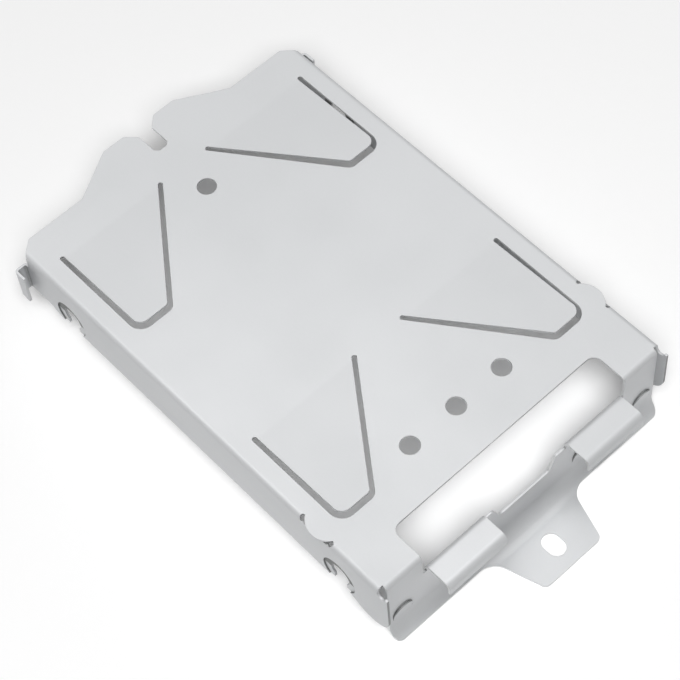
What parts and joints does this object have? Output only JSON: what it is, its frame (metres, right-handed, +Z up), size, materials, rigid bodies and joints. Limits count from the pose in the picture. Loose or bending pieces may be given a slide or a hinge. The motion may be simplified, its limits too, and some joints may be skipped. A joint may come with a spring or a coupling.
{
  "type": "hard drive mounting bracket",
  "caption": "Folded sheet-metal bracket for a 2.5 inch drive: slotted plate with spring tongues, side flanges with screw seats, front wall with rolled tabs, lip and ear, and rear hooks.",
  "frame": {"origin": "middle of the bounding box's footprint, at the level of the ear's underside", "axes": "+Y from the front wall towards the notched rear edge, +X to the right seen from behind the front wall, +Z up from the ear to the plate"},
  "size_m": [0.0766, 0.1216, 0.0215],
  "materials": {
    "zinc_plated_steel": "satin zinc-plated sheet with a fine rolled grain, brighter along the cut edges"
  },
  "bodies": {
    "root": {"drive_bracket": "zinc_plated_steel"}
  },
  "joints": []
}
